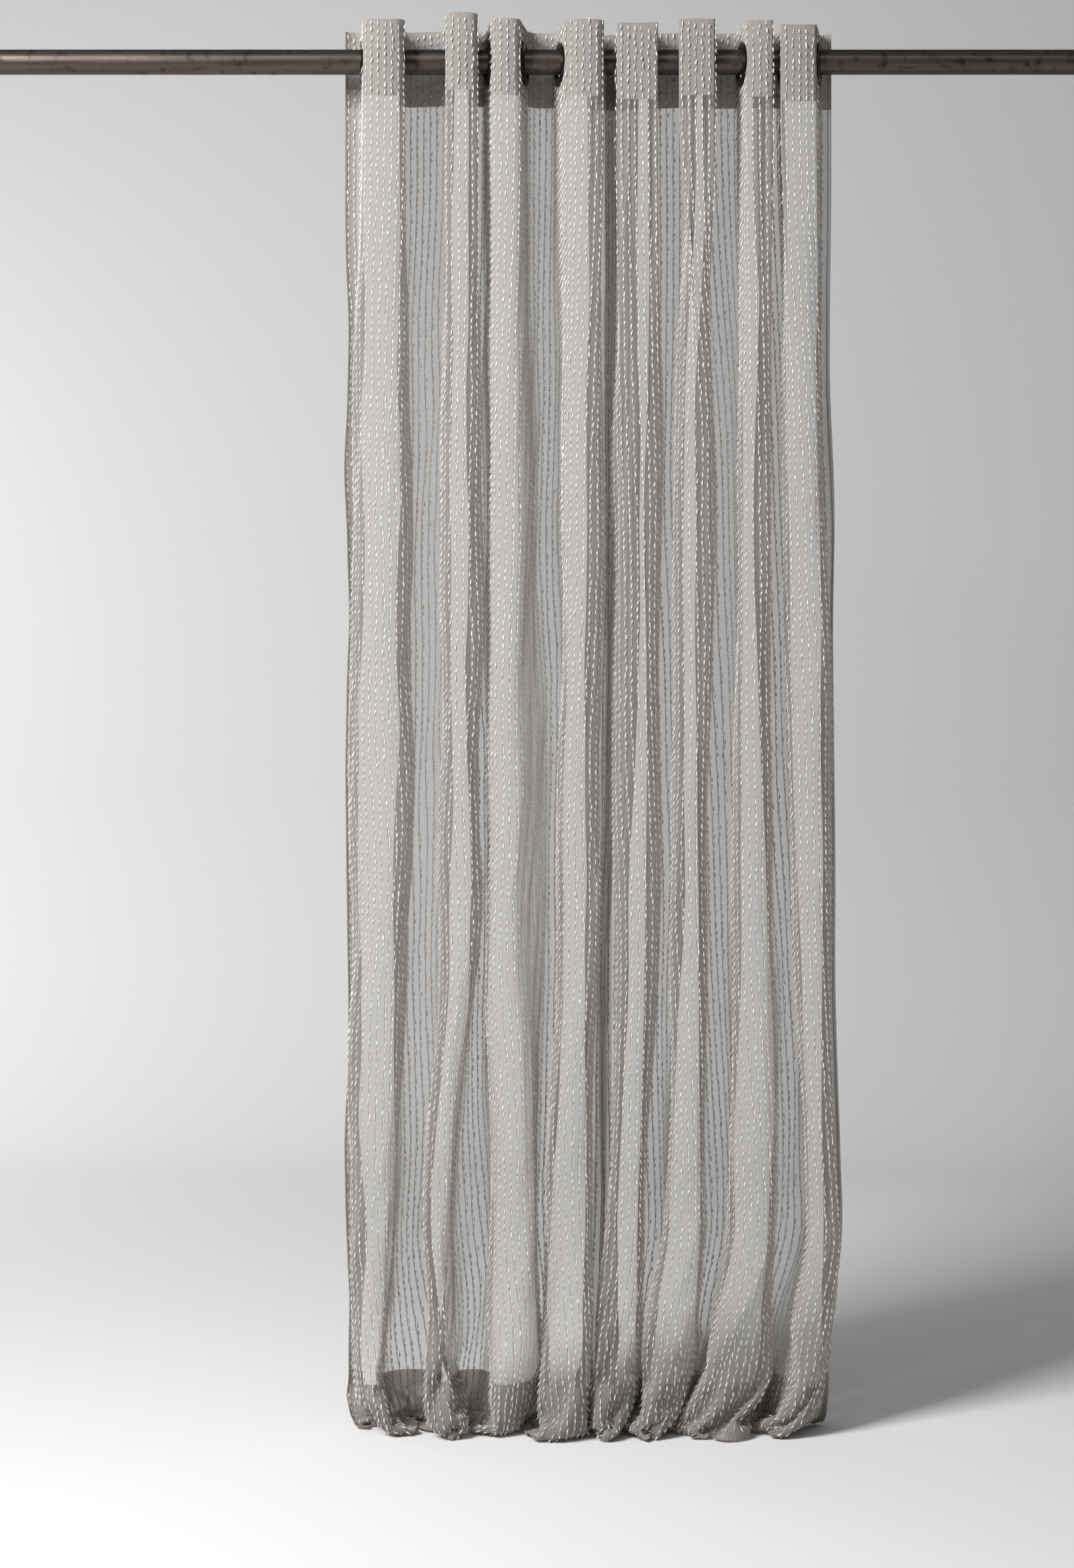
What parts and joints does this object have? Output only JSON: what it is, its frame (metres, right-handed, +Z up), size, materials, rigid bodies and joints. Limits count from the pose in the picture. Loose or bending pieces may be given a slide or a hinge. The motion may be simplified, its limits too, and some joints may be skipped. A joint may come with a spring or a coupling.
{
  "type": "curtains on a pole",
  "caption": "Pair of gathered sheer eyelet curtain panels with slubby vertical yarn stripes, hung by metal grommets on a round bronze pole carried by wall brackets.",
  "frame": {"origin": "on the wall face, level with the pole's axis, midway between the two brackets", "axes": "+X right along the pole, +Y back into the wall, +Z up"},
  "size_m": [1.924, 0.2706, 1.9939],
  "materials": {
    "bronze_patina": "dark brown bronze patina, satin, worn",
    "grommet_bronze": "dark oil-rubbed bronze plating",
    "steel": "blackened steel",
    "gauze": "semi-sheer grey gauze with raised silver-white eyelash yarn stripes"
  },
  "bodies": {
    "brackets": {"wall_plate_left": "bronze_patina", "arm_left": "bronze_patina", "cradle_left": "bronze_patina", "wall_screw_left_upper": "steel", "wall_screw_left_lower": "steel", "wall_plate_right": "bronze_patina", "arm_right": "bronze_patina", "cradle_right": "bronze_patina", "wall_screw_right_upper": "steel", "wall_screw_right_lower": "steel"},
    "pole_tube": {"pole": "bronze_patina"},
    "left_end_cap": {"end_cap_left": "bronze_patina"},
    "right_end_cap": {"end_cap_right": "bronze_patina"},
    "left_lock_screw": {"lock_screw_left": "steel"},
    "right_lock_screw": {"lock_screw_right": "steel"},
    "left_stack": {"grommet_01_front": "grommet_bronze", "grommet_01_back": "grommet_bronze", "left_panel": "gauze"},
    "right_stack": {"grommet_16_front": "grommet_bronze", "grommet_16_back": "grommet_bronze", "right_panel": "gauze"},
    "grommet_08_slider": {"grommet_08_front": "grommet_bronze", "grommet_08_back": "grommet_bronze"},
    "grommet_02_slider": {"grommet_02_front": "grommet_bronze", "grommet_02_back": "grommet_bronze"},
    "grommet_03_slider": {"grommet_03_front": "grommet_bronze", "grommet_03_back": "grommet_bronze"},
    "grommet_04_slider": {"grommet_04_front": "grommet_bronze", "grommet_04_back": "grommet_bronze"},
    "grommet_05_slider": {"grommet_05_front": "grommet_bronze", "grommet_05_back": "grommet_bronze"},
    "grommet_06_slider": {"grommet_06_front": "grommet_bronze", "grommet_06_back": "grommet_bronze"},
    "grommet_07_slider": {"grommet_07_front": "grommet_bronze", "grommet_07_back": "grommet_bronze"},
    "grommet_09_slider": {"grommet_09_front": "grommet_bronze", "grommet_09_back": "grommet_bronze"},
    "grommet_10_slider": {"grommet_10_front": "grommet_bronze", "grommet_10_back": "grommet_bronze"},
    "grommet_11_slider": {"grommet_11_front": "grommet_bronze", "grommet_11_back": "grommet_bronze"},
    "grommet_12_slider": {"grommet_12_front": "grommet_bronze", "grommet_12_back": "grommet_bronze"},
    "grommet_13_slider": {"grommet_13_front": "grommet_bronze", "grommet_13_back": "grommet_bronze"},
    "grommet_14_slider": {"grommet_14_front": "grommet_bronze", "grommet_14_back": "grommet_bronze"},
    "grommet_15_slider": {"grommet_15_front": "grommet_bronze", "grommet_15_back": "grommet_bronze"}
  },
  "joints": [
    {"name": "pole_lift", "type": "slide", "parent": "brackets", "child": "pole_tube", "axis": [0, 0, 1], "range_m": [0, 0.05]},
    {"name": "left_end_cap_pull", "type": "slide", "parent": "pole_tube", "child": "left_end_cap", "axis": [-1, 0, 0], "range_m": [0, 0.04]},
    {"name": "left_lock_screw_turn", "type": "hinge", "parent": "brackets", "child": "left_lock_screw", "pos_m": [-0.89, -0.1675, 0], "axis": [0, 1, 0], "range_deg": [-360, 0]},
    {"name": "right_end_cap_pull", "type": "slide", "parent": "pole_tube", "child": "right_end_cap", "axis": [1, 0, 0], "range_m": [0, 0.04]},
    {"name": "right_lock_screw_turn", "type": "hinge", "parent": "brackets", "child": "right_lock_screw", "pos_m": [0.89, -0.1675, 0], "axis": [0, 1, 0], "range_deg": [-360, 0]},
    {"name": "left_panel_slide", "type": "slide", "parent": "pole_tube", "child": "left_stack", "axis": [1, 0, 0], "range_m": [-0.5, 0]},
    {"name": "right_panel_slide", "type": "slide", "parent": "pole_tube", "child": "right_stack", "axis": [1, 0, 0], "range_m": [0, 0.5]},
    {"name": "left_panel_draw", "type": "slide", "parent": "left_stack", "child": "grommet_08_slider", "axis": [1, 0, 0], "range_m": [-0.11655, 0], "deforming": ["left_panel"]},
    {"name": "grommet_02_slide", "type": "slide", "parent": "left_stack", "child": "grommet_02_slider", "axis": [1, 0, 0], "range_m": [-0.0197, 0]},
    {"name": "grommet_03_slide", "type": "slide", "parent": "left_stack", "child": "grommet_03_slider", "axis": [1, 0, 0], "range_m": [-0.0442, 0]},
    {"name": "grommet_04_slide", "type": "slide", "parent": "left_stack", "child": "grommet_04_slider", "axis": [1, 0, 0], "range_m": [-0.0547, 0]},
    {"name": "grommet_05_slide", "type": "slide", "parent": "left_stack", "child": "grommet_05_slider", "axis": [1, 0, 0], "range_m": [-0.06258, 0]},
    {"name": "grommet_06_slide", "type": "slide", "parent": "left_stack", "child": "grommet_06_slider", "axis": [1, 0, 0], "range_m": [-0.08095, 0]},
    {"name": "grommet_07_slide", "type": "slide", "parent": "left_stack", "child": "grommet_07_slider", "axis": [1, 0, 0], "range_m": [-0.09828, 0]},
    {"name": "right_panel_draw", "type": "slide", "parent": "right_stack", "child": "grommet_09_slider", "axis": [1, 0, 0], "range_m": [0, 0.0952], "deforming": ["right_panel"]},
    {"name": "grommet_10_slide", "type": "slide", "parent": "right_stack", "child": "grommet_10_slider", "axis": [1, 0, 0], "range_m": [0, 0.08235]},
    {"name": "grommet_11_slide", "type": "slide", "parent": "right_stack", "child": "grommet_11_slider", "axis": [1, 0, 0], "range_m": [0, 0.06485]},
    {"name": "grommet_12_slide", "type": "slide", "parent": "right_stack", "child": "grommet_12_slider", "axis": [1, 0, 0], "range_m": [0, 0.05505]},
    {"name": "grommet_13_slide", "type": "slide", "parent": "right_stack", "child": "grommet_13_slider", "axis": [1, 0, 0], "range_m": [0, 0.0386]},
    {"name": "grommet_14_slide", "type": "slide", "parent": "right_stack", "child": "grommet_14_slider", "axis": [1, 0, 0], "range_m": [0, 0.02635]},
    {"name": "grommet_15_slide", "type": "slide", "parent": "right_stack", "child": "grommet_15_slider", "axis": [1, 0, 0], "range_m": [0, 0.01865]}
  ],
  "couplings": [
    {"joint": "grommet_02_slide", "follows": "left_panel_draw", "ratio": 0.16817},
    {"joint": "grommet_03_slide", "follows": "left_panel_draw", "ratio": 0.37838},
    {"joint": "grommet_04_slide", "follows": "left_panel_draw", "ratio": 0.46847},
    {"joint": "grommet_05_slide", "follows": "left_panel_draw", "ratio": 0.53604},
    {"joint": "grommet_06_slide", "follows": "left_panel_draw", "ratio": 0.69369},
    {"joint": "grommet_07_slide", "follows": "left_panel_draw", "ratio": 0.84234},
    {"joint": "grommet_10_slide", "follows": "right_panel_draw", "ratio": 0.86397},
    {"joint": "grommet_11_slide", "follows": "right_panel_draw", "ratio": 0.68015},
    {"joint": "grommet_12_slide", "follows": "right_panel_draw", "ratio": 0.57721},
    {"joint": "grommet_13_slide", "follows": "right_panel_draw", "ratio": 0.40441},
    {"joint": "grommet_14_slide", "follows": "right_panel_draw", "ratio": 0.27574},
    {"joint": "grommet_15_slide", "follows": "right_panel_draw", "ratio": 0.19485}
  ]
}
